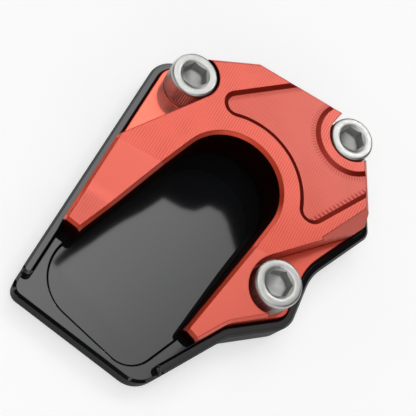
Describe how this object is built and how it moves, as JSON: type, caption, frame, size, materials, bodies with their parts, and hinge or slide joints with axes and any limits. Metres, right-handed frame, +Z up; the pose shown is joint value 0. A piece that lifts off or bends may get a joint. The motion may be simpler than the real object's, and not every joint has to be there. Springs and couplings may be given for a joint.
{
  "type": "kickstand foot enlarger",
  "caption": "Kickstand foot enlarger: a black plate with a raised lip and a red horseshoe clamp on cap screws, which widens the foot of a motorcycle side stand.",
  "frame": {"origin": "middle of the plate's footprint, on the underside", "axes": "+Z up from the ground face, +Y from the toe to the heel, +X to the right seen from above with the toe at the front"},
  "size_m": [0.0574, 0.0798, 0.0145],
  "materials": {
    "black_anodised": "gloss black anodised",
    "red_anodised": "red anodised over fine milling lines",
    "stainless": "bright turned steel, knurled sides"
  },
  "bodies": {
    "root": {"base_plate": "black_anodised", "clamp_block": "red_anodised", "cap_screws": "stainless"}
  },
  "joints": []
}
